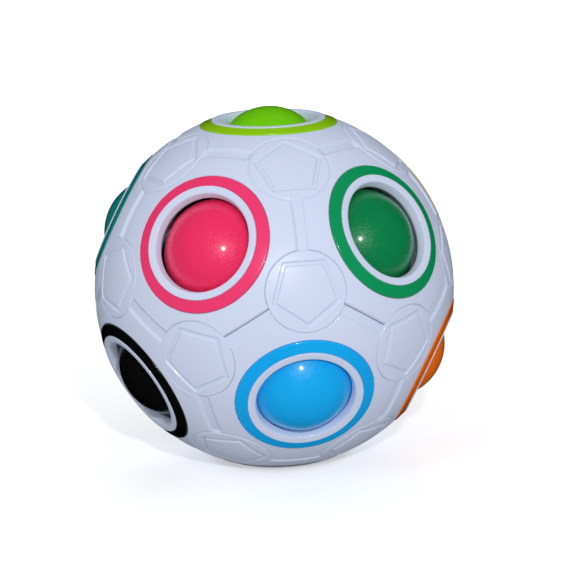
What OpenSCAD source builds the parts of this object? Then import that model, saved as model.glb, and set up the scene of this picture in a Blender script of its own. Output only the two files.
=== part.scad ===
// Sliding-ball puzzle: a hollow two-part ball with twelve round windows, eleven
// coloured balls that can be pushed in and moved from window to window, and one
// empty window. The rim of the empty window is the flat face that it stands on.
// Frame: origin at the middle of the rest face, +Z up, millimetres.

/* [Hollow ball] */
// Outer diameter of the hollow ball
ball_d = 70; // [69.6:0.1:70.4]
// Wall thickness of the two half shells
wall_t = 2.6; // [2.4:0.1:2.8]
// Half of the gap along the zigzag parting seam
seam_half_gap = 0.04; // [0.02:0.01:0.1]
// Width of each of a half's ten inner tabs
tab_w = 2.6; // [2:0.1:3]
// Reach of a tab past the seam
tab_reach = 1.4; // [1:0.1:1.5]

/* [Relief] */
// Depth of the moulded channels and grooves
relief_depth = 0.4; // [0.2:0.05:0.5]
// Width of the channels that join the pentagons
channel_w = 2.2; // [1.6:0.1:2.4]
// Distance from the middle of a pentagon to the outer corners of its groove
pad_r = 6.9; // [6.5:0.1:7]
// Difference between the outer and inner corner distances of a pentagon's groove
pad_groove_w = 0.9; // [0.5:0.1:1]
// Width of the round groove around each pentagon that is moulded on a shell
disc_groove_w = 0.35; // [0.2:0.05:0.4]

/* [Windows] */
// Radius of the opening that a ball looks out of, at its narrowest
throat_r = 9.1; // [9.1:0.01:9.2]
// Height of the narrowest place above the middle of the hollow ball
throat_h = 31.8; // [31.8:0.01:31.9]
// Inner radius of the white rim at its top
rim_in_r = 9.6; // [9.5:0.05:9.7]
// Outer radius of the white rim, which is also the coloured ring's inner radius
rim_out_r = 11; // [10.8:0.1:11.2]
// Height of the white rim's flat top above the middle of the hollow ball
rim_h = 33.5; // [33.45:0.01:33.6]
// Outer radius of the coloured ring
ring_r = 13.18; // [12.9:0.01:13.2]
// Height that the coloured ring stands proud of the shell
ring_proud = 0.12; // [0:0.01:0.14]
// Radius of the socket's flange behind the shell
flange_r = 14.4; // [14.2:0.1:14.5]

/* [Balls and core] */
// Diameter of a coloured ball
puzzle_ball_d = 21.2; // [21.1:0.01:21.2]
// Distance from the middle of the hollow ball to the middle of a coloured ball
seat_d = 25.1; // [25.05:0.01:25.2]
// The same distance for the blue ball, which hangs further out in its window
blue_seat_d = 26.2; // [26.1:0.01:26.2]
// Diameter of the foam core
core_d = 28.8; // [27:0.1:28.8]

/* [Seam plugs] */
// Radius of a plug's round head
plug_r = 7.6; // [7.4:0.1:7.6]
// Radius of a plug's stem
plug_stem_r = 3; // [2.5:0.1:3.2]
// Radius of the barb at the stem's inner end
plug_barb_r = 3.5; // [3.3:0.1:3.6]
// Height of the plug's seat above the middle of the hollow ball
plug_seat_h = 33.3; // [33.2:0.05:33.4]

/* [Hidden] */
PAINT = ["lime", "pink", "green", "yellow", "purple", "teal",
         "blue", "orange", "red", "navy", "black", "grey"];
PAINT_RGB = ["#7ecb12", "#f03568", "#08905a", "#f2c21a", "#7a3fa8", "#0f7f7c",
             "#1d9bd9", "#ee6a12", "#d8232a", "#1e2f7a", "#141517", "#9a9ea3"];
$fn = 96;

WHITE = "#e9eef6";
FOAM = "#4b4f55";

ball_r = ball_d / 2;
wall_in_r = ball_r - wall_t;
fit_gap = 0.02;
plug_gap = 0.04;
cut_margin = 1;
far = 3 * ball_r;

// Twelve windows: one at each pole and two rows of five, as on an icosahedron
last_window = 11;
blue_window = 6;
row_count = 5;
row_step = 360 / row_count;
row_lat = atan(1 / 2);
upper_row_lon = -126;
lower_row_lon = -90;

// Pentagons sit in the middle of every three windows, in four rings of five
cap_pad_lat = 52.6226;
seam_pad_lat = 10.8123;
seam_count = 2 * row_count;
seam_step = row_step / 2;
cap_band_lat = 58.2825;
mid_band_lat = 31.7175;
band_angle = 41.8103;
disc_floor_h = sqrt(pow(ball_r - relief_depth, 2) - pow(plug_r, 2));
to_disc = ball_r * sin(band_angle / 2 - asin((plug_r + disc_groove_w / 2) / ball_r));
to_plug = 6;
cap_band_turn = 90;
cap_pad_turn = 180;
seam_slope = 31.7175;

// Each seam plug is pressed in at its own angle
plug_turns = [0, 12, 40, 30, 66, 20, 50, 5, 26, 61];

ring_seat_h = 31.2;
throat_land = 0.3;
flare_r = 10.9;
flare_h = 28;
flare_mid_r = 10.75;
flare_mid_h = 28.6;
flare_top_r = 10.2;
flare_top_h = 30;
flange_top_h = 29.5;
flange_edge_h = 28.9;
flange_low_h = 28.2;
rim_chamfer = 0.25;
tab_t = 0.9;
tab_back = 1.8;
tab_gap = 0.2;
tab_root = 0.8;
plug_barb_h = 30.9;
plug_barb_t = 1;

function upper_window(i) = i <= row_count;
function row_window_lon(i) = upper_window(i)
    ? upper_row_lon + row_step * (i - 1)
    : lower_row_lon + row_step * (i - 1 - row_count);
function window_lat(i) = i == 0 ? 90 : i == last_window ? -90 : upper_window(i) ? row_lat : -row_lat;
function window_lon(i) = i == 0 || i == last_window ? 0 : row_window_lon(i);
function seam_lat(k) = k % 2 == 0 ? seam_pad_lat : -seam_pad_lat;
function seam_lon(k) = lower_row_lon + seam_step * k;
function seam_turn(k) = k % 2 == 0 ? 90 - seam_slope : 90 + seam_slope;
function on_sphere(r, lat, lon) = r * [cos(lat) * cos(lon), cos(lat) * sin(lon), sin(lat)];

// Moves children from the middle of the hollow ball to its place above the rest face
module centred() {
    translate([0, 0, rim_h]) children();
}

// Turns +Z to a latitude and longitude; +X then points down the meridian, +Y east
module toward(lat, lon, turn = 0) {
    rotate([0, 90 - lat, lon]) rotate([0, 0, turn]) children();
}

// Everything above the zigzag that joins the ten seam pentagons
module above_seam() {
    zigzag = [for (k = [0:seam_count - 1]) on_sphere(far, seam_lat(k), seam_lon(k))];
    walls = [for (k = [0:seam_count - 1]) [seam_count, k, (k + 1) % seam_count]];
    roof = [for (k = [0:seam_count - 1]) [seam_count + 1, (k + 1) % seam_count, k]];
    polyhedron(points = concat(zigzag, [[0, 0, 0], [0, 0, far]]), faces = concat(walls, roof));
}

// A thin layer under the outer surface, which the relief is cut from
module relief_layer() {
    difference() {
        sphere(r = ball_r + cut_margin);
        sphere(r = ball_r - relief_depth);
    }
}

// Prism that cuts the groove of a pentagon
module pentagon_groove() {
    translate([0, 0, ball_r / 2]) linear_extrude(ball_r) difference() {
        circle(r = pad_r, $fn = 5);
        circle(r = pad_r - pad_groove_w, $fn = 5);
    }
}

// Ring that cuts the round groove of a moulded pentagon, which is as large as a plug's head
module disc_groove() {
    translate([0, 0, disc_floor_h]) difference() {
        cylinder(r = plug_r + disc_groove_w, h = ball_r);
        translate([0, 0, -cut_margin]) cylinder(r = plug_r, h = ball_r + 2 * cut_margin);
    }
}

// Straight bar between two neighbouring pentagons: it ends in a disc groove or in a plug's bore
module band(lat, lon, turn, from, to) {
    toward(lat, lon, turn) translate([-from, -channel_w / 2, ball_r / 2]) cube([from + to, channel_w, ball_r]);
}

// Channels and five-sided grooves that are sunk into the outer surface of one half
module half_relief() {
    intersection() {
        relief_layer();
        union() {
            for (k = [0:row_count - 1]) {
                lon = lower_row_lon + row_step * k;
                band(mid_band_lat, lon, 0, to_disc, to_plug);
                band(cap_band_lat, lon + row_step / 2, cap_band_turn, to_disc, to_disc);
                toward(cap_pad_lat, lon, cap_pad_turn) pentagon_groove();
            }
            for (k = [0:seam_count - 1]) band(0, seam_lon(k) + seam_step / 2, seam_turn(k), to_plug, to_plug);
        }
    }
}

module window_bore(i) {
    toward(window_lat(i), window_lon(i)) translate([0, 0, ball_r / 2]) cylinder(r = ring_r + fit_gap, h = ball_r);
}

module plug_bore(k) {
    toward(seam_lat(k), seam_lon(k)) {
        translate([0, 0, ball_r / 2]) cylinder(r = plug_stem_r + fit_gap, h = ball_r);
        translate([0, 0, plug_seat_h]) cylinder(r = plug_r + plug_gap, h = ball_r);
    }
}

// Tab inside the wall that reaches past the seam and keeps the halves in line.
// The other half's tab lies beside it.
module seam_tab(k, edge) {
    toward(0, seam_lon(k) + seam_step / 2, seam_turn(k))
        translate([tab_gap, edge, wall_in_r - tab_gap - tab_t]) {
            translate([0, -tab_reach, 0]) cube([tab_w, tab_reach + tab_back, tab_t]);
            translate([0, tab_gap, 0]) cube([tab_w, tab_back - tab_gap, tab_t + tab_root]);
        }
}

// One half of the hollow ball. The edge is the distance from the middle of the
// zigzag channels to the half's own edge: the seam runs in the channels' upper corner.
module half_shell(edge) {
    intersection() {
        difference() {
            sphere(r = ball_r);
            sphere(r = wall_in_r);
            for (i = [0:row_count]) window_bore(i);
            for (k = [0:seam_count - 1]) plug_bore(k);
            half_relief();
            for (k = [0:row_count - 1]) toward(cap_pad_lat, lower_row_lon + row_step * k) disc_groove();
        }
        translate([0, 0, edge / cos(seam_slope)]) above_seam();
    }
    for (k = [0:seam_count - 1]) seam_tab(k, edge);
}

module upper_shell() {
    color(WHITE) centred() half_shell(channel_w / 2 + seam_half_gap);
}

module lower_shell() {
    color(WHITE) centred() rotate([180, 0, 0]) half_shell(seam_half_gap - channel_w / 2);
}

// Socket: flared seat, throat, white rim and the flange that holds the ring in
module socket(i) {
    color(WHITE) centred() toward(window_lat(i), window_lon(i)) rotate_extrude() polygon([
        [throat_r, throat_h],
        [throat_r, throat_h + throat_land],
        [rim_in_r, rim_h - rim_chamfer],
        [rim_in_r + rim_chamfer, rim_h],
        [rim_out_r - rim_chamfer / 2, rim_h],
        [rim_out_r, rim_h - rim_chamfer / 2],
        [rim_out_r, ring_seat_h],
        [ring_r, ring_seat_h],
        [ring_r, flange_top_h],
        [flange_r, flange_edge_h],
        [flange_r, flange_low_h],
        [flare_r, flare_h],
        [flare_mid_r, flare_mid_h],
        [flare_top_r, flare_top_h]
    ]);
}

module ring(i) {
    color(PAINT_RGB[i]) centred() toward(window_lat(i), window_lon(i)) intersection() {
        sphere(r = ball_r + ring_proud);
        translate([0, 0, ring_seat_h]) difference() {
            cylinder(r = ring_r, h = ball_r);
            translate([0, 0, -cut_margin]) cylinder(r = rim_out_r + fit_gap, h = ball_r + 2 * cut_margin);
        }
    }
}

module puzzle_ball(i) {
    color(PAINT_RGB[i]) centred() toward(window_lat(i), window_lon(i))
        translate([0, 0, i == blue_window ? blue_seat_d : seat_d]) sphere(d = puzzle_ball_d);
}

module foam_core() {
    color(FOAM) centred() sphere(d = core_d);
}

// Round plug with a pentagon on its head, pressed in across the seam
module seam_plug(k) {
    color(WHITE) centred() toward(seam_lat(k), seam_lon(k), plug_turns[k]) difference() {
        union() {
            intersection() {
                sphere(r = ball_r);
                translate([0, 0, plug_seat_h]) cylinder(r = plug_r, h = ball_r);
            }
            translate([0, 0, plug_barb_h]) cylinder(r = plug_stem_r, h = plug_seat_h - plug_barb_h);
            translate([0, 0, plug_barb_h]) cylinder(r = plug_barb_r, h = plug_barb_t);
        }
        intersection() {
            relief_layer();
            pentagon_groove();
        }
    }
}

upper_shell();
lower_shell();
foam_core();
for (i = [0:last_window])
    socket(i);
for (i = [0:last_window])
    ring(i);
for (i = [0:last_window - 1])
    puzzle_ball(i);
for (k = [0:seam_count - 1])
    seam_plug(k);
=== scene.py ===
import itertools
import math

import bpy
import numpy as np
from mathutils import Matrix, Vector


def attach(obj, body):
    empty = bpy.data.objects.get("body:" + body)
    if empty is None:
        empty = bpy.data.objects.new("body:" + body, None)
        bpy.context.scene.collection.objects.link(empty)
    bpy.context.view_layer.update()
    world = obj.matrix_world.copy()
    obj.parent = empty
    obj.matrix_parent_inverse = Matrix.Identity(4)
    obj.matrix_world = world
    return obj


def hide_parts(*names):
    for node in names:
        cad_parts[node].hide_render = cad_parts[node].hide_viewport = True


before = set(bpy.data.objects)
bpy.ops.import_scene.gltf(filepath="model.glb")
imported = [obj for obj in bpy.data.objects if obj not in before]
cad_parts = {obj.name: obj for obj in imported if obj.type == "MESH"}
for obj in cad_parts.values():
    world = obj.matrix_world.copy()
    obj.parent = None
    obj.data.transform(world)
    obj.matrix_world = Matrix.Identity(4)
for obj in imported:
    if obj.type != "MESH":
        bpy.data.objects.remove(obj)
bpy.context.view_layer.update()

# Sliding-ball puzzle: a hollow white ball in two halves, with twelve windows, a coloured ring and a
# white socket in each, ten plugs across the seam, eleven coloured balls and a foam core.

# ---------------------------------------------------------------- the object's own sizes, in mm
MM = 0.001
BALL_R = 35.0            # outer radius of the hollow ball
WALL = 2.6
WALL_IN_R = BALL_R - WALL
RIM_H = 33.5             # top of a socket's white rim, above the hollow ball's middle
CENTRE = Vector((0.0, 0.0, RIM_H))    # the ball stands on the rim of its empty window

# Window pieces. R is a distance from the window's axis, H a height above the ball's middle.
WINDOW_R = 13.2          # bore that a coloured ring sits in
WINDOW_ROUND = 0.22
WINDOW_CUT = 4.4         # how far its cutter reaches inside the wall
RING_IN_R = 11.02
RING_OUT_R = 13.18
RING_SEAT_H = 31.2
RING_CROWN = 0.12        # how far the ring's domed top stands above the ball's surface
RIM_IN_R = 9.55
RIM_OUT_R = 11.0
THROAT_R = 9.1
THROAT_H = 31.8
THROAT_LENGTH = 0.3
FLANGE_R = 14.4

# Seam plugs, about their own axis
PLUG_R = 7.6
PLUG_BORE_R = PLUG_R + 0.01
PLUG_ROUND = 0.28
PLUG_CUT = 1.4
PLUG_SEAT_H = 33.3
PLUG_STEM_R = 3.0
PLUG_STEM_GAP = 0.02
PLUG_BARB_R = 3.5
PLUG_BARB_H = 30.9
PLUG_BARB_LENGTH = 1.0

# Relief of the shells
CHANNEL_DEPTH = 0.46
CHANNEL_SLOPE = 0.8      # width of a channel's sloping side
CHANNEL_W = 2.1
CHANNEL_HALF = 6.4       # half the length that a channel has before the discs cut it short
CHANNEL_LIP = 0.25       # a seam channel's upper side is that much further from its middle
GROOVE_DEPTH = 0.34
GROOVE_SLOPE = 0.42
PAD_R = 6.9              # outer and inner corners of a pentagon's groove
PAD_IN_R = 6.0
PAD_ROUND = 0.5          # rounding of those corners
PAD_IN_ROUND = 0.3
DISC_GROOVE_W = 0.35     # round groove of a pentagon that is moulded on a shell
DISC_GROOVE_DEPTH = 0.2
SEAM_EDGE_UP = 1.16      # where the upper half ends, from the middle of the seam channel
SEAM_EDGE_LOW = 1.04
SEAM_ROUND = 0.16
SEAM_EXTRA = 2.0         # the seam goes on that far past a channel's end, under the plugs

# Balls and core
PUZZLE_BALL_R = 10.6
SEAT = 25.1              # distance of a ball's middle from the hollow ball's middle
BLUE_SEAT = SEAT + 1.1   # it has an empty window beside it, so nothing holds it back
PRESSED_SEAT = SEAT - 3.5
HOLLOW_R = PUZZLE_BALL_R + 0.1
HOLLOW_BLEND = 0.8
FOAM_R = 14.32

# Layout of an icosahedron that stands on a corner, in degrees: windows at its corners,
# pentagons at the middles of its faces, channels at the middles of its edges
GOLDEN = (1 + math.sqrt(5)) / 2
ROW_LAT = math.degrees(math.atan(1 / 2))
CAP_LAT = math.degrees(math.atan(GOLDEN ** 2 / 2))
SEAM_LAT = math.degrees(math.atan(1 / (2 * GOLDEN ** 2)))
CAP_CHANNEL_LAT = math.degrees(math.atan(GOLDEN))
MID_CHANNEL_LAT = math.degrees(math.atan(1 / GOLDEN))
SEAM_SLOPE = MID_CHANNEL_LAT     # the zigzag climbs and falls at that angle
ROW_COUNT = 5            # windows in a row
PLUG_COUNT = 2 * ROW_COUNT
ROW_STEP = 360 // ROW_COUNT
SEAM_STEP = 360 // PLUG_COUNT
LOWER_LON = -90          # the blue window's; the upper row is half a step away from it
UPPER_LON = LOWER_LON - SEAM_STEP

PAINTS = ["lime", "pink", "green", "yellow", "purple", "teal",
          "blue", "orange", "red", "navy", "black", "grey"]    # in the order of the windows
WINDOWS = ([(90, 0)] + [(ROW_LAT, UPPER_LON + ROW_STEP * i) for i in range(ROW_COUNT)]
           + [(-ROW_LAT, LOWER_LON + ROW_STEP * i) for i in range(ROW_COUNT)] + [(-90, 0)])
PLUGS = [(-SEAM_LAT if k % 2 else SEAM_LAT, LOWER_LON + SEAM_STEP * k) for k in range(PLUG_COUNT)]
PLUG_TURNS = [0, 12, 40, 30, 66, 20, 50, 5, 26, 61]    # degrees; each pentagon points another way


def axes_at(lat, lon, turn=0.0):
    """Columns: down the meridian, east, outward, then turned about the outward axis."""
    m = (Matrix.Rotation(math.radians(lon), 3, "Z")
         @ Matrix.Rotation(math.radians(90 - lat), 3, "Y")
         @ Matrix.Rotation(math.radians(turn), 3, "Z"))
    return np.array(m)


def placed(lat, lon, turn=0.0):
    """Matrix from a piece's own frame, in metres about the hollow ball's middle, to its place."""
    turned = Matrix([list(row) for row in axes_at(lat, lon, turn)]).to_4x4()
    return Matrix.Translation(CENTRE * MM) @ turned


# ---------------------------------------------------------------- mesh helpers
def new_mesh(name, points, faces):
    """points in mm about the piece's origin."""
    mesh = bpy.data.meshes.new(name)
    mesh.from_pydata((np.asarray(points) * MM).tolist(), [], [list(map(int, f)) for f in faces])
    mesh.update()
    return mesh


def new_object(name, data, matrix=None):
    """Object in the scene, at its place."""
    obj = bpy.data.objects.new(name, data)
    bpy.context.scene.collection.objects.link(obj)
    if matrix is not None:
        obj.matrix_world = matrix
    return obj


def smooth(mesh, angle=40.0):
    """Smooth shading, apart from edges sharper than the angle."""
    mesh.polygons.foreach_set("use_smooth", [True] * len(mesh.polygons))
    mesh.set_sharp_from_angle(angle=math.radians(angle))
    mesh.update()


def turned_solid(profile, segments):
    """Solid of revolution about Z. The profile runs around the section with the solid on its
    left; points on the axis become poles."""
    profile = [tuple(p) for p in profile]
    points, rings = [], []
    for r, z in profile:
        if r < 1e-9:
            rings.append([len(points)] * segments)
            points.append((0.0, 0.0, z))
        else:
            start = len(points)
            for j in range(segments):
                a = 2 * math.pi * j / segments
                points.append((r * math.cos(a), r * math.sin(a), z))
            rings.append(list(range(start, start + segments)))
    faces = []
    n = len(profile)
    for i in range(n):
        a, b = rings[i], rings[(i + 1) % n]
        if a[0] == a[1] and b[0] == b[1]:
            continue
        for j in range(segments):
            k = (j + 1) % segments
            if a[0] == a[1]:
                faces.append((a[0], b[k], b[j]))
            elif b[0] == b[1]:
                faces.append((a[j], a[k], b[0]))
            else:
                faces.append((a[j], a[k], b[k], b[j]))
    return points, faces


def rounded(corners, steps=5):
    """Polygon with rounded corners. Each corner is (r, z, radius)."""
    out = []
    n = len(corners)
    for i in range(n):
        p0 = np.array(corners[i - 1][:2], float)
        p1 = np.array(corners[i][:2], float)
        p2 = np.array(corners[(i + 1) % n][:2], float)
        radius = corners[i][2]
        if radius <= 0:
            out.append(tuple(p1))
            continue
        a = (p0 - p1) / np.linalg.norm(p0 - p1)
        b = (p2 - p1) / np.linalg.norm(p2 - p1)
        half = math.acos(max(-1.0, min(1.0, float(a @ b)))) / 2
        cut = radius / math.tan(half)
        middle = p1 + (a + b) / np.linalg.norm(a + b) * radius / math.sin(half)
        start, end = p1 + a * cut - middle, p1 + b * cut - middle
        sweep = math.pi - 2 * half
        side = math.copysign(1.0, start[0] * end[1] - start[1] * end[0])
        for s in range(steps + 1):
            t = side * sweep * s / steps
            out.append((middle[0] + start[0] * math.cos(t) - start[1] * math.sin(t),
                        middle[1] + start[0] * math.sin(t) + start[1] * math.cos(t)))
    return out


def sphere_arc(radius, r_from, r_to, steps):
    """Points of a sphere's section between two distances from the axis."""
    return [(r, math.sqrt(radius * radius - r * r))
            for r in np.linspace(r_from, r_to, steps + 1)]


def edge_arc(wall_r, sphere_r, fillet, outside, steps=6):
    """Quarter-round between a bore or rim of radius wall_r and a sphere, from the wall to the
    sphere. outside: the solid is outside the wall, as around a bore."""
    side = 1.0 if outside else -1.0
    cr = wall_r + side * fillet
    cz = math.sqrt((sphere_r - fillet) ** 2 - cr * cr)
    a0 = math.pi if outside else 0.0
    a1 = math.atan2(cz, cr)
    return [(cr + fillet * math.cos(a0 + (a1 - a0) * s / steps),
             cz + fillet * math.sin(a0 + (a1 - a0) * s / steps)) for s in range(steps + 1)]


def boolean(obj, other, operation):
    """Replaces obj's mesh by the result, and removes the other object."""
    mod = obj.modifiers.new("cut", "BOOLEAN")
    mod.operation = operation
    mod.solver = "MANIFOLD"
    mod.object = other
    bpy.context.view_layer.update()
    graph = bpy.context.evaluated_depsgraph_get()
    mesh = bpy.data.meshes.new_from_object(obj.evaluated_get(graph), depsgraph=graph)
    obj.modifiers.clear()
    old = obj.data
    obj.data = mesh
    bpy.data.meshes.remove(old)
    bpy.data.objects.remove(other)


# ---------------------------------------------------------------- the shells' relief
FAR = 99.0               # stands for a place that isn't near


def box_distance(x, y, half_x, low_y, high_y, corner=0.15):
    """Signed distance to a rectangle with rounded corners, about the middle of its length."""
    qx = np.abs(x) - half_x + corner
    qy = np.abs(y - (low_y + high_y) / 2) - (high_y - low_y) / 2 + corner
    outside = np.hypot(np.maximum(qx, 0), np.maximum(qy, 0))
    return outside + np.minimum(np.maximum(qx, qy), 0) - corner


def pentagon_distance(x, y, radius, corner):
    """Signed distance to a pentagon with a corner on +X and rounded corners."""
    step = math.tau / 5
    r = radius - corner / math.cos(step / 2)
    apothem = r * math.cos(step / 2)
    half_side = r * math.sin(step / 2)
    a = np.abs(np.mod(np.arctan2(y, x), step) - step / 2)
    d = np.hypot(x, y)
    px, py = d * np.cos(a), d * np.sin(a)
    beside = np.maximum(py - half_side, 0)
    outside = (px > apothem) | (beside > 0)
    return np.where(outside, np.hypot(px - apothem, beside), px - apothem) - corner


def soft_min(a, b, width):
    """Smaller of two values, blended where they are closer than width."""
    h = np.clip(0.5 + 0.5 * (b - a) / width, 0, 1)
    return b + (a - b) * h - width * h * (1 - h)


def local(points, axes):
    """Coordinates in a patch's own frame, with points behind it moved far away."""
    p = points @ axes
    behind = p[:, 2] <= 0
    return np.where(behind, FAR, p[:, 0]), np.where(behind, FAR, p[:, 1])


CHANNELS = []
CAP_PADS = []
for i in range(ROW_COUNT):
    lon = LOWER_LON + ROW_STEP * i
    beside = lon + SEAM_STEP
    CHANNELS += [axes_at(MID_CHANNEL_LAT, lon), axes_at(-MID_CHANNEL_LAT, beside, 180),
                 axes_at(CAP_CHANNEL_LAT, beside, 90), axes_at(-CAP_CHANNEL_LAT, lon, 90)]
    CAP_PADS += [axes_at(CAP_LAT, lon, 180), axes_at(-CAP_LAT, beside, 0)]
SEAM_CHANNELS = [axes_at(0, LOWER_LON + SEAM_STEP * (k + 0.5), 90 + (SEAM_SLOPE if k % 2 else -SEAM_SLOPE))
                 for k in range(PLUG_COUNT)]


def channel_distance(points):
    """Distance to the outline of the channels, negative inside them. They end at the discs."""
    d = np.full(len(points), FAR)
    for axes in CHANNELS:
        x, y = local(points, axes)
        d = np.minimum(d, box_distance(x, y, CHANNEL_HALF, -CHANNEL_W / 2, CHANNEL_W / 2))
    for axes in SEAM_CHANNELS:
        x, y = local(points, axes)
        d = np.minimum(d, box_distance(x, y, CHANNEL_HALF, -CHANNEL_W / 2, CHANNEL_W / 2 + CHANNEL_LIP))
    for axes in CAP_PADS:
        x, y = local(points, axes)
        d = np.maximum(d, PLUG_R + DISC_GROOVE_W - np.hypot(x, y))
    return d


def groove_distance(points):
    """Distance to the five-sided grooves of the pentagons that are moulded on."""
    d = np.full(len(points), FAR)
    for axes in CAP_PADS:
        d = np.minimum(d, pentagon_groove_distance(*local(points, axes)))
    return d


def disc_distance(points):
    """Distance to the round grooves of the pentagons that are moulded on."""
    d = np.full(len(points), FAR)
    for axes in CAP_PADS:
        x, y = local(points, axes)
        ring = np.abs(np.hypot(x, y) - PLUG_R - DISC_GROOVE_W / 2) - DISC_GROOVE_W / 2
        d = np.minimum(d, ring)
    return d


def pentagon_groove_distance(x, y):
    """Distance to the groove between a pentagon's outer and inner outline."""
    return np.maximum(pentagon_distance(x, y, PAD_R, PAD_ROUND),
                      -pentagon_distance(x, y, PAD_IN_R, PAD_IN_ROUND))


def seam_distance(points):
    """Height above the middle line of the nearest seam channel, or far away from one."""
    best = np.full(len(points), FAR)
    for axes in SEAM_CHANNELS:
        x, y = local(points, axes)
        near = np.abs(x) < CHANNEL_HALF + SEAM_EXTRA
        best = np.where(near & (np.abs(y) < np.abs(best)), y, best)
    return best


def recess(distance, depth, slope):
    """Drop of a surface into a recess, smooth over a side as wide as slope."""
    t = np.clip(0.5 - distance / slope, 0, 1)
    return -depth * t * t * t * (t * (6 * t - 15) + 10)


def round_off(distance, radius):
    """Drop of a surface towards an edge at distance 0."""
    t = np.clip(distance / radius, 0, 1)
    return -radius * (1 - np.sqrt(np.clip(1 - (1 - t) ** 2, 0, 1)))


def shell_height(points, upper):
    """How far a shell's surface is above the plain sphere."""
    h = np.minimum(recess(channel_distance(points), CHANNEL_DEPTH, CHANNEL_SLOPE),
                   recess(groove_distance(points), GROOVE_DEPTH, GROOVE_SLOPE))
    h = np.minimum(h, recess(disc_distance(points), DISC_GROOVE_DEPTH, GROOVE_SLOPE))
    s = seam_distance(points)
    edge = s - SEAM_EDGE_UP if upper else SEAM_EDGE_LOW - s
    return h + np.where(np.abs(s) < FAR, round_off(edge, SEAM_ROUND), 0.0)


def plug_height(points):
    """The same for a plug's head, about its own axis."""
    x, y = local(points, np.eye(3))
    return recess(pentagon_groove_distance(x, y), GROOVE_DEPTH, GROOVE_SLOPE)


# ---------------------------------------------------------------- adaptive sphere mesh
def icosphere(frequency):
    """Unit geodesic sphere with a corner in the middle of each window."""
    corners = np.array([axes_at(lat, lon)[:, 2] for lat, lon in WINDOWS])
    near = corners @ corners.T > 0.4      # neighbours are 63.4 degrees apart
    faces = [(a, b, c) for a, b, c in itertools.combinations(range(len(corners)), 3)
             if near[a, b] and near[b, c] and near[a, c]]
    index, points, tris = {}, [], []

    def corner(weights):
        key = tuple(sorted((v, w) for v, w in weights if w))
        if key not in index:
            p = sum(corners[v] * w for v, w in key)
            index[key] = len(points)
            points.append(p / np.linalg.norm(p))
        return index[key]

    for a, b, c in faces:
        if np.dot(np.cross(corners[b] - corners[a], corners[c] - corners[a]), corners[a]) < 0:
            b, c = c, b
        grid = {}
        for i in range(frequency + 1):
            for j in range(frequency + 1 - i):
                grid[i, j] = corner([(a, frequency - i - j), (b, i), (c, j)])
        for i in range(frequency):
            for j in range(frequency - i):
                tris.append((grid[i, j], grid[i + 1, j], grid[i, j + 1]))
                if i + j < frequency - 1:
                    tris.append((grid[i + 1, j], grid[i + 1, j + 1], grid[i, j + 1]))
    return np.array(points), np.array(tris)


def refine(points, tris, radius, size_at, rounds=14):
    """Splits edges until none is longer than size_at says at its middle."""
    points = points * radius
    for _ in range(rounds):
        sides = np.stack([tris, np.roll(tris, -1, axis=1)], axis=2).reshape(-1, 2)
        edges, back = np.unique(np.sort(sides, axis=1), axis=0, return_inverse=True)
        back = back.reshape(-1, 3)
        ends = points[edges]
        length = np.linalg.norm(ends[:, 0] - ends[:, 1], axis=1)
        middle = ends.mean(axis=1)
        middle *= radius / np.linalg.norm(middle, axis=1)[:, None]
        marked = length > size_at(middle)
        if not marked.any():
            break
        # A triangle with a marked edge has its longest edge marked too, which keeps it well shaped
        longest = back[np.arange(len(back)), np.argmax(length[back], axis=1)]
        while True:
            touched = marked[back].any(axis=1)
            wanted = marked.copy()
            wanted[longest[touched]] = True
            if (wanted == marked).all():
                break
            marked = wanted
        fresh = np.full(len(edges), -1)
        fresh[marked] = len(points) + np.arange(marked.sum())
        points = np.vstack([points, middle[marked]])
        # Each triangle falls into two, three or four, by the number of its marked edges
        m = fresh[back]
        out = [tris[(m < 0).all(axis=1)]]
        count = (m >= 0).sum(axis=1)
        for turn in range(3):
            t, n = np.roll(tris, -turn, axis=1), np.roll(m, -turn, axis=1)
            a, b, c = t.T
            ab, bc, ca = n.T
            one = (count == 1) & (ab >= 0)
            out.append(np.stack([a, ab, c], 1)[one])
            out.append(np.stack([ab, b, c], 1)[one])
            two = (count == 2) & (ca < 0)
            side = np.roll(back, -turn, axis=1)
            near_a = length[side[:, 0]] > length[side[:, 1]]
            out.append(np.stack([ab, b, bc], 1)[two])
            first, second = two & near_a, two & ~near_a
            out.append(np.stack([ab, bc, c], 1)[first])
            out.append(np.stack([a, ab, c], 1)[first])
            out.append(np.stack([a, ab, bc], 1)[second])
            out.append(np.stack([a, bc, c], 1)[second])
        a, b, c = tris.T
        ab, bc, ca = m.T
        three = count == 3
        for piece in ((a, ab, ca), (ab, b, bc), (ca, bc, c), (ab, bc, ca)):
            out.append(np.stack(piece, 1)[three])
        tris = np.vstack(out)
    return points, tris


def relax(points, tris, radius, rounds=3):
    """Evens out the triangles without leaving the sphere."""
    sides = np.stack([tris, np.roll(tris, -1, axis=1)], axis=2).reshape(-1, 2)
    edges = np.unique(np.sort(sides, axis=1), axis=0)
    for _ in range(rounds):
        total = np.zeros_like(points)
        count = np.zeros(len(points))
        for i, j in ((0, 1), (1, 0)):
            np.add.at(total, edges[:, i], points[edges[:, j]])
            np.add.at(count, edges[:, i], 1)
        points = 0.5 * points + 0.5 * total / count[:, None]
        points *= radius / np.linalg.norm(points, axis=1)[:, None]
    return points


def displaced(points, height):
    """The points moved outward by the height there."""
    radius = np.linalg.norm(points, axis=1)
    return points * ((radius + height(points)) / radius)[:, None]


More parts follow.
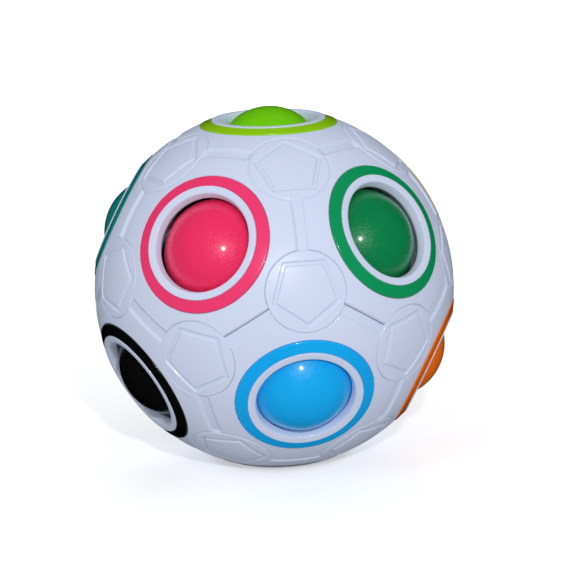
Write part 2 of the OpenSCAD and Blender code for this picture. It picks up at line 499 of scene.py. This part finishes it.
def surface_normals(points, height, radius):
    """Outward normals of a sphere with a height field on it."""
    u = points / np.linalg.norm(points, axis=1)[:, None]
    helper = np.where(np.abs(u[:, 2:]) < 0.9, [[0.0, 0.0, 1.0]], [[1.0, 0.0, 0.0]])
    e1 = np.cross(helper, u)
    e1 /= np.linalg.norm(e1, axis=1)[:, None]
    e2 = np.cross(u, e1)
    step = 0.02              # mm

    def at(direction, sign):
        p = u * radius + sign * step * direction
        return height(p * (radius / np.linalg.norm(p, axis=1))[:, None])

    g1 = (at(e1, 1) - at(e1, -1)) / (2 * step)
    g2 = (at(e2, 1) - at(e2, -1)) / (2 * step)
    n = u - e1 * g1[:, None] - e2 * g2[:, None]
    return n / np.linalg.norm(n, axis=1)[:, None]


def shade_as(mesh, height, radius):
    """Gives the faces of the displaced surface its true normals, so that a channel's side
    looks smooth; the other faces keep their own."""
    co = np.empty(len(mesh.vertices) * 3)
    mesh.vertices.foreach_get("co", co)
    co = co.reshape(-1, 3) / MM
    true = surface_normals(co, height, radius)
    depth = np.linalg.norm(co, axis=1)
    u = co / depth[:, None]
    tolerance = 0.03         # mm
    on_surface = np.abs(depth - radius - height(u * radius)) < tolerance
    loops = np.empty(len(mesh.loops), int)
    mesh.loops.foreach_get("vertex_index", loops)
    faces = np.empty(len(mesh.polygons) * 3)
    mesh.polygons.foreach_get("normal", faces)
    faces = faces.reshape(-1, 3)
    totals = np.empty(len(mesh.polygons), int)
    mesh.polygons.foreach_get("loop_total", totals)
    face_of = np.repeat(np.arange(len(mesh.polygons)), totals)
    alike = (true[loops] * faces[face_of]).sum(axis=1) > 0.75    # cosine of the angle between
    mine = on_surface[loops] & alike
    whole = np.ones(len(mesh.polygons), bool)
    np.logical_and.at(whole, face_of, on_surface[loops])
    mine &= whole[face_of]
    corner = np.empty(len(mesh.loops) * 3)
    mesh.corner_normals.foreach_get("vector", corner)
    corner = corner.reshape(-1, 3)
    corner[mine] = true[loops][mine]
    mesh.normals_split_custom_set(corner.tolist())


# ---------------------------------------------------------------- shells
def circle_distance(points, lat, lon, r):
    """Distance across the surface to a bore of radius r, negative inside it."""
    axis = axes_at(lat, lon)[:, 2]
    across = np.sqrt(np.maximum(BALL_R ** 2 - (points @ axis) ** 2, 0))
    return np.where(points @ axis > 0, across - r, FAR)


def shell_size(points):
    """Longest edge that a shell's mesh may have: fine near the relief and the seam, coarser away
    from them, and coarsest well inside a bore, where the surface is taken away."""
    fine, coarse, beside_bore, in_bore = 0.24, 2.4, 0.7, 3.2
    near, well_in, seam_weight = 0.3, 1.5, 1.5
    growth = 0.5             # of the length, for each mm
    channel = np.abs(channel_distance(points)) - CHANNEL_SLOPE / 4
    groove = np.minimum(np.abs(groove_distance(points)), np.abs(disc_distance(points)))
    s = seam_distance(points)
    seam = np.minimum(np.abs(s - SEAM_EDGE_UP), np.abs(s - SEAM_EDGE_LOW))
    d = np.minimum(np.minimum(channel, groove), seam * seam_weight)
    size = np.clip(fine + growth * np.maximum(d - near, 0), 0, coarse)
    window = np.min([circle_distance(points, lat, lon, WINDOW_R) for lat, lon in WINDOWS], axis=0)
    plug = np.min([circle_distance(points, lat, lon, PLUG_BORE_R) for lat, lon in PLUGS], axis=0)
    for hole in (window, plug):
        size = np.minimum(size, beside_bore + growth * np.abs(hole))
        size = np.where(hole < -well_in, in_bore, size)
    return size


def cutter(profile, edge, segments):
    """Lathe solid that follows the profile and a rounded edge, and then leaves the surface."""
    above = BALL_R + 2
    clear = np.array(edge[-1]) * 1.03
    return turned_solid(profile + edge + [tuple(clear), (0.0, above)], segments)


def bore_solid(segments=160):
    below = WALL_IN_R - WINDOW_CUT
    edge = edge_arc(WINDOW_R, BALL_R, WINDOW_ROUND, True)
    return cutter([(0.0, below), (WINDOW_R, below)], edge, segments)


def plug_bore_solid(segments=96):
    below = WALL_IN_R - PLUG_CUT
    stem_r = PLUG_STEM_R + PLUG_STEM_GAP
    profile = [(0.0, below), (stem_r, below), (stem_r, PLUG_SEAT_H), (PLUG_BORE_R, PLUG_SEAT_H)]
    return cutter(profile, edge_arc(PLUG_BORE_R, BALL_R, PLUG_ROUND, True), segments)


def joined(parts):
    """Points and faces of several solids as one."""
    points, faces, start = [], [], 0
    for part_points, part_faces in parts:
        points.append(np.asarray(part_points, float))
        faces.extend([tuple(v + start for v in f) for f in part_faces])
        start += len(part_points)
    return np.vstack(points), faces


def zigzag_solid(upper):
    """Everything on one side of the seam."""
    reach = 3 * BALL_R
    edge = SEAM_EDGE_UP if upper else SEAM_EDGE_LOW
    lift = edge / math.cos(math.radians(SEAM_SLOPE))
    rim = [axes_at(lat, lon)[:, 2] * reach for lat, lon in PLUGS]
    tip = reach if upper else -reach
    points = np.array(rim + [(0, 0, 0), (0, 0, tip)]) + [0, 0, lift]
    middle, end = PLUG_COUNT, PLUG_COUNT + 1
    faces = []
    for k in range(PLUG_COUNT):
        n = (k + 1) % PLUG_COUNT
        faces += [(middle, n, k), (end, k, n)] if upper else [(middle, k, n), (end, n, k)]
    return points, faces


OUTER_POINTS, OUTER_TRIS = refine(*icosphere(12), BALL_R, shell_size)
OUTER_POINTS = relax(OUTER_POINTS, OUTER_TRIS, BALL_R)


def half_shell(name, upper):
    """Hollow ball with its relief and bores, cut along the seam."""
    def height(points):
        return shell_height(points, upper)

    inner_points, inner_tris = icosphere(14)
    body = joined([(displaced(OUTER_POINTS, height), OUTER_TRIS),
                   (inner_points * WALL_IN_R, inner_tris[:, ::-1])])
    obj = new_object(name, new_mesh(name, *body))
    holes = []
    bore, plug_bore = bore_solid(), plug_bore_solid()
    half = len(WINDOWS) // 2
    for lat, lon in (WINDOWS[:half] if upper else WINDOWS[half:]):
        holes.append((np.array(bore[0]) @ axes_at(lat, lon).T, bore[1]))
    for lat, lon in PLUGS:
        holes.append((np.array(plug_bore[0]) @ axes_at(lat, lon).T, plug_bore[1]))
    boolean(obj, new_object("holes", new_mesh("holes", *joined(holes))), "DIFFERENCE")
    boolean(obj, new_object("side", new_mesh("side", *zigzag_solid(upper))), "INTERSECT")
    smooth(obj.data)
    shade_as(obj.data, height, BALL_R)
    obj.matrix_world = placed(90, 0)
    return obj


# ---------------------------------------------------------------- lathe pieces
def solid_mesh(name, profile, segments):
    """Lathe solid as a mesh."""
    mesh = new_mesh(name, *turned_solid(profile, segments))
    smooth(mesh)
    return mesh


def socket_mesh():
    """Its outline's corners, each with its rounding: flared seat, flange that holds the ring in,
    and white rim with the funnel and the throat."""
    seat = [(THROAT_R, THROAT_H, 0.08), (10.2, 30.0, 0.5), (10.75, 28.6, 0.5), (10.9, 28.0, 0.12)]
    flange = [(FLANGE_R, 28.2, 0.15), (FLANGE_R, 28.9, 0.2), (RING_OUT_R, 29.5, 0.15),
              (RING_OUT_R, RING_SEAT_H, 0.15)]
    rim = [(RIM_OUT_R, RING_SEAT_H, 0.1), (RIM_OUT_R, RIM_H, 0.12), (RIM_IN_R, RIM_H, 0.4),
           (THROAT_R, THROAT_H + THROAT_LENGTH, 0.3)]
    return solid_mesh("socket", rounded(seat + flange + rim), segments=144)


def ring_mesh():
    """Coloured ring with a slightly domed top and eased edges."""
    crown = sphere_arc(BALL_R + RING_CROWN, RING_IN_R, RING_OUT_R, 10)
    corners = [(RING_IN_R, RING_SEAT_H, 0.1), (RING_OUT_R, RING_SEAT_H, 0.1),
               (RING_OUT_R, crown[-1][1], 0.2)]
    corners += [(r, z, 0.0) for r, z in crown[-2:0:-1]]
    corners += [(RING_IN_R, crown[0][1], 0.12)]
    return solid_mesh("ring", rounded(corners, steps=4), segments=160)


def plug_mesh():
    """Round head with a grooved pentagon, and a barbed stem."""
    def size(points):
        fine, coarse, outside = 0.17, 1.1, 6.0
        near, growth = 0.3, 0.4
        x, y = local(points, np.eye(3))
        d = np.abs(pentagon_groove_distance(x, y))
        on_head = np.hypot(x, y) < PLUG_R + 0.5
        return np.where(on_head, np.clip(fine + growth * np.maximum(d - near, 0), 0, coarse), outside)

    points, tris = refine(*icosphere(6), BALL_R, size)
    points = relax(points, tris, BALL_R)
    obj = new_object("plug", new_mesh("plug", displaced(points, plug_height), tris))
    ease = 0.1
    barb_top = PLUG_BARB_H + PLUG_BARB_LENGTH
    profile = [(0.0, PLUG_BARB_H), (PLUG_BARB_R - 0.2, PLUG_BARB_H), (PLUG_BARB_R, PLUG_BARB_H + 0.3),
               (PLUG_BARB_R, barb_top), (PLUG_STEM_R, barb_top), (PLUG_STEM_R, PLUG_SEAT_H),
               (PLUG_R - ease, PLUG_SEAT_H), (PLUG_R, PLUG_SEAT_H + ease)]
    turned = cutter(profile, edge_arc(PLUG_R, BALL_R, PLUG_ROUND, False), segments=128)
    boolean(obj, new_object("turned", new_mesh("turned", *turned)), "INTERSECT")
    smooth(obj.data)
    shade_as(obj.data, plug_height, BALL_R)
    mesh = obj.data
    bpy.data.objects.remove(obj)
    return mesh


def cube_sphere(count):
    """Unit sphere from a cube's six grids, with no poles."""
    steps = np.tan(np.linspace(-math.pi / 4, math.pi / 4, count + 1))
    index, points, faces = {}, [], []
    for axis in range(3):
        for side in (-1, 1):
            grid = {}
            for i, a in enumerate(steps):
                for j, b in enumerate(steps):
                    p = [0.0, 0.0, 0.0]
                    p[axis], p[(axis + 1) % 3], p[(axis + 2) % 3] = side, a, b
                    key = tuple(round(v, 6) for v in p)
                    if key not in index:
                        index[key] = len(points)
                        points.append(np.array(p) / np.linalg.norm(p))
                    grid[i, j] = index[key]
            for i in range(count):
                for j in range(count):
                    quad = (grid[i, j], grid[i + 1, j], grid[i + 1, j + 1], grid[i, j + 1])
                    faces.append(quad if side > 0 else quad[::-1])
    return np.array(points), faces


def ball_mesh(seat):
    """A ball in its place on the window's axis."""
    points, faces = cube_sphere(28)
    mesh = new_mesh("ball", points * PUZZLE_BALL_R + [0, 0, seat], faces)
    smooth(mesh)
    return mesh


def hollow_radius(points):
    """How far out the core may reach: a hollow under each window takes a pressed ball."""
    radius = np.full(len(points), FOAM_R)
    for lat, lon in WINDOWS:
        along = points @ axes_at(lat, lon)[:, 2]
        room = HOLLOW_R ** 2 - PRESSED_SEAT ** 2 * (1 - along ** 2)
        reach = PRESSED_SEAT * along - np.sqrt(np.maximum(room, 0))
        under = (room > 0) & (along > 0)
        radius = np.where(under, soft_min(radius, reach, HOLLOW_BLEND), radius)
    return radius


def foam_mesh():
    """Soft core with an open-pored, slightly uneven skin."""
    pore_count, narrow, wide, steepness = 1100, 0.025, 0.06, 5.4
    wave_count, unevenness = 6, 0.06
    rng = np.random.default_rng(7)
    points, faces = cube_sphere(72)
    pores = rng.normal(size=(pore_count, 3))
    pores /= np.linalg.norm(pores, axis=1)[:, None]
    widths = rng.uniform(narrow, wide, pore_count)
    depth = np.zeros(len(points))
    for pore, width in zip(pores, widths):
        gap = np.linalg.norm(points - pore, axis=1) / width
        depth = np.maximum(depth, np.where(gap < 1, (1 - gap ** 2) ** 2 * width * steepness, 0))
    waves = [np.sin(points @ rng.normal(size=3) * 5 + rng.uniform(0, 6)) for _ in range(wave_count)]
    radius = hollow_radius(points) - depth - unevenness * (1 - sum(waves) / wave_count)
    mesh = new_mesh("foam", points * radius[:, None], faces)
    smooth(mesh, angle=80)
    return mesh


# ---------------------------------------------------------------- materials
def linear(rgb):
    """Linear light of an sRGB colour with values up to 255."""
    parts = [c / 255 for c in rgb]
    return tuple(c / 12.92 if c <= 0.04045 else ((c + 0.055) / 1.055) ** 2.4 for c in parts) + (1.0,)


def new_material(name):
    """Material, its node tree, its shader, and the place that its patterns start from."""
    mat = bpy.data.materials.new(name)
    mat.use_nodes = True
    tree = mat.node_tree
    place = tree.nodes.new("ShaderNodeTexCoord")
    return mat, tree, tree.nodes["Principled BSDF"], place.outputs["Object"]


def noise(tree, place, scale, detail):
    """Noise from 0 to 1. Its scale is in bumps per metre."""
    node = tree.nodes.new("ShaderNodeTexNoise")
    node.inputs["Scale"].default_value = scale
    node.inputs["Detail"].default_value = detail
    tree.links.new(place, node.inputs["Vector"])
    return node.outputs["Fac"]


def colour_ramp(tree, value, low, high, start, end):
    """Base colour between two colours, as value goes from start to end."""
    ramp = tree.nodes.new("ShaderNodeValToRGB")
    first, last = ramp.color_ramp.elements
    first.position, last.position = start, end
    first.color, last.color = low, high
    tree.links.new(value, ramp.inputs["Fac"])
    tree.links.new(ramp.outputs["Color"], tree.nodes["Principled BSDF"].inputs["Base Color"])


def skin(tree, value, strength, distance):
    """Fine relief on the surface."""
    bump = tree.nodes.new("ShaderNodeBump")
    bump.inputs["Strength"].default_value = strength
    bump.inputs["Distance"].default_value = distance
    tree.links.new(value, bump.inputs["Height"])
    tree.links.new(bump.outputs["Normal"], tree.nodes["Principled BSDF"].inputs["Normal"])


def plastic(name, rgb, roughness, grain, specular, shade, coat, coat_roughness=0.07):
    """Glossy moulded plastic: slight cloudiness in the colour, uneven gloss, a fine skin and a
    smooth clear surface over it."""
    mat, tree, shader, place = new_material(name)
    base = np.array(linear(rgb)[:3])
    dark = tuple(base * (1 - shade)) + (1.0,)
    light = tuple(np.minimum(base * (1 + shade * 0.5), 1)) + (1.0,)
    cloud = noise(tree, place, scale=90, detail=3)
    colour_ramp(tree, cloud, dark, light, start=0.3, end=0.7)
    gloss = tree.nodes.new("ShaderNodeMapRange")
    gloss.inputs["To Min"].default_value = roughness * 0.8
    gloss.inputs["To Max"].default_value = roughness * 1.25
    tree.links.new(noise(tree, place, scale=500, detail=4), gloss.inputs["Value"])
    tree.links.new(gloss.outputs["Result"], shader.inputs["Roughness"])
    skin(tree, noise(tree, place, scale=3600, detail=2), strength=grain, distance=0.0002)
    shader.inputs["Specular IOR Level"].default_value = specular
    shader.inputs["Coat Weight"].default_value = coat
    shader.inputs["Coat Roughness"].default_value = coat_roughness
    return mat


def foam_material():
    """Dull grey foam: its cells are pressed in as pits and painted darker towards their middles, painted
    shade in the pits, with paler walls that stand out a little.
    """
    mat, tree, shader, place = new_material("grey_foam")
    cells = tree.nodes.new("ShaderNodeTexVoronoi")
    cells.inputs["Scale"].default_value = 900
    tree.links.new(place, cells.inputs["Vector"])
    wall = cells.outputs["Distance"]
    colour_ramp(tree, wall, linear((52, 55, 60)), linear((104, 108, 114)), start=0.0, end=0.6)
    skin(tree, wall, strength=0.5, distance=0.0003)
    shader.inputs["Roughness"].default_value = 0.95
    shader.inputs["Specular IOR Level"].default_value = 0.2
    return mat


# The lime, pink, green and teal rings are painted lighter than their balls: painted light, as the rings
# face the light while the balls sit in shade.
PAINT_RGB = {
    "lime": (118, 214, 1), "pink": (255, 46, 102), "green": (1, 134, 74), "yellow": (244, 198, 20),
    "purple": (122, 60, 168), "teal": (20, 134, 130), "blue": (0, 178, 252), "orange": (255, 118, 10),
    "red": (218, 30, 38), "navy": (28, 46, 126), "black": (14, 14, 14), "grey": (150, 154, 160)}
# Lighter ring colours for lime, pink, green and teal: painted light on one plastic, not a different
# colour.
RING_RGB_WITH_PAINTED_LIGHT = dict(PAINT_RGB, lime=(158, 222, 14), pink=(255, 60, 118), green=(2, 156, 94),
                teal=(24, 142, 138))
WHITE = plastic("white_plastic", (214, 223, 246), roughness=0.34, grain=0.0, specular=0.25,
                shade=0.01, coat=0.15)
BALL_PLASTIC = {p: plastic(p + "_plastic", rgb, roughness=0.25, grain=0.5, specular=0.3,
                           shade=0.05, coat=0.5, coat_roughness=0.15)
                for p, rgb in PAINT_RGB.items()}
RING_PLASTIC = {p: plastic(p + "_ring_plastic", rgb, roughness=0.22, grain=0.1, specular=0.5,
                           shade=0.04, coat=0.8)
                for p, rgb in RING_RGB_WITH_PAINTED_LIGHT.items()}


# ---------------------------------------------------------------- put the pieces together
def fit(obj, body, node, material):
    """Moves a piece's place into its mesh, gives it its material, hangs it on its body and hides the CAD
    part that it stands in for.
    """
    obj.data.transform(obj.matrix_world)
    obj.matrix_world = Matrix()
    obj.data.materials.clear()
    obj.data.materials.append(material)
    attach(obj, body)
    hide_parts(node)


for name, upper in (("upper_shell", True), ("lower_shell", False)):
    fit(half_shell(name + "_piece", upper), "root", name, WHITE)

head = plug_mesh()
for k, (lat, lon) in enumerate(PLUGS):
    obj = new_object(f"seam_plug_{k + 1}_piece", head.copy(), placed(lat, lon, PLUG_TURNS[k]))
    fit(obj, "root", f"seam_plug_{k + 1}", WHITE)

socket, ring = socket_mesh(), ring_mesh()
for paint, (lat, lon) in zip(PAINTS, WINDOWS):
    obj = new_object(paint + "_socket_piece", socket.copy(), placed(lat, lon))
    fit(obj, "root", paint + "_socket", WHITE)
    obj = new_object(paint + "_ring_piece", ring.copy(), placed(lat, lon))
    fit(obj, "root", paint + "_ring", RING_PLASTIC[paint])
    if paint != "grey":
        seat = BLUE_SEAT if paint == "blue" else SEAT
        obj = new_object(paint + "_ball_piece", ball_mesh(seat), placed(lat, lon))
        fit(obj, paint + "_ball", paint + "_ball", BALL_PLASTIC[paint])

foam = new_object("foam_core_piece", foam_mesh(), placed(90, 0))
fit(foam, "root", "foam_core", foam_material())

# ---------------------------------------------------------------- camera
VIEW_AZ, VIEW_EL, VIEW_DIST, VIEW_ROLL = -99.915, 12.687, 582.5, -1.99    # degrees and mm
VIEW_LENS = 188.8
SENSOR_W = 36
AIM = Vector((1.99, -0.26, 0.42))     # what the camera points at, from the ball's middle


def direction_of(az, el):
    """Unit vector towards an azimuth and elevation in degrees."""
    az, el = math.radians(az), math.radians(el)
    return Vector((math.cos(el) * math.cos(az), math.cos(el) * math.sin(az), math.sin(el)))


direction = direction_of(VIEW_AZ, VIEW_EL)
eye = CENTRE + direction * VIEW_DIST
forward = (CENTRE + AIM - eye).normalized()
level = forward.cross(Vector((0, 0, 1))).normalized()
above = level.cross(forward)
roll = math.radians(VIEW_ROLL)
right = level * math.cos(roll) + above * math.sin(roll)
up = above * math.cos(roll) - level * math.sin(roll)
lens = bpy.data.cameras.new("camera")
lens.sensor_width = SENSOR_W
lens.lens = VIEW_LENS
lens.clip_end = 20
camera = new_object("camera", lens)
camera.matrix_world = Matrix.Translation(eye * MM) @ Matrix((right, up, -forward)).transposed().to_4x4()
bpy.context.scene.camera = camera


# ---------------------------------------------------------------- floor and light
def floor_material():
    """White, and glowing by itself: painted light that is dimmer near the ball and brighter away from it,
    a painted pool of shade round the ball.
    """
    mat, tree, shader, place = new_material("floor")
    shader.inputs["Base Color"].default_value = (0.92, 0.92, 0.92, 1)
    shader.inputs["Roughness"].default_value = 0.9
    shader.inputs["Specular IOR Level"].default_value = 0.1
    shader.inputs["Emission Color"].default_value = (1, 1, 1, 1)
    away = tree.nodes.new("ShaderNodeVectorMath")
    away.operation = "LENGTH"
    # Painted light: the floor's own glow, dimmer near the ball as painted shade round it and brighter
    # further away.
    painted_floor_glow = tree.nodes.new("ShaderNodeMapRange")
    painted_floor_glow.inputs["From Min"].default_value = 0.05
    painted_floor_glow.inputs["From Max"].default_value = 0.4
    painted_floor_glow.inputs["To Min"].default_value = 0.36
    painted_floor_glow.inputs["To Max"].default_value = 0.68
    tree.links.new(place, away.inputs[0])
    tree.links.new(away.outputs["Value"], painted_floor_glow.inputs["Value"])
    tree.links.new(painted_floor_glow.outputs["Result"], shader.inputs["Emission Strength"])
    return mat


FLOOR_HALF = 4000        # mm
corners = [(x * FLOOR_HALF, y * FLOOR_HALF, 0) for x, y in ((-1, -1), (1, -1), (1, 1), (-1, 1))]
floor = new_object("floor", new_mesh("floor", corners, [(0, 1, 2, 3)]))
floor.data.materials.append(floor_material())
floor.visible_diffuse = False         # it doesn't light the ball, or show in its gloss
floor.visible_glossy = False


def area_light(name, place, size, power):
    """Round light that points at the ball's middle; place is in mm, size in metres."""
    data = bpy.data.lights.new(name, "AREA")
    data.shape = "DISK"
    data.size = size
    data.energy = power
    obj = new_object(name, data)
    turned = (CENTRE - place).to_track_quat("-Z", "Y").to_matrix().to_4x4()
    obj.matrix_world = Matrix.Translation(place * MM) @ turned
    return obj


def beside_camera(right_deg, up_deg, distance):
    """A place seen from the ball's middle at these angles from the camera."""
    aside = right * math.tan(math.radians(right_deg)) + up * math.tan(math.radians(up_deg))
    return CENTRE + (direction + aside).normalized() * distance


area_light("flash", beside_camera(5, 11, distance=560), size=0.02, power=1.08)
key = area_light("key", beside_camera(-30, 40, distance=900), size=0.3, power=0.5)
behind = Vector((-direction.x, -direction.y, 0.45)).normalized()
fill = area_light("fill", CENTRE + behind * 700, size=0.25, power=0.9)
for soft in (key, fill):
    soft.visible_glossy = False

world = bpy.data.worlds.new("world")
world.use_nodes = True
sky = world.node_tree.nodes["Background"]
sky.inputs["Color"].default_value = (0.95, 0.97, 1.0, 1)
sky.inputs["Strength"].default_value = 0.57
bpy.context.scene.world = world
world.cycles_visibility.glossy = False    # set once the scene has the world
bpy.context.scene.view_settings.view_transform = "Standard"
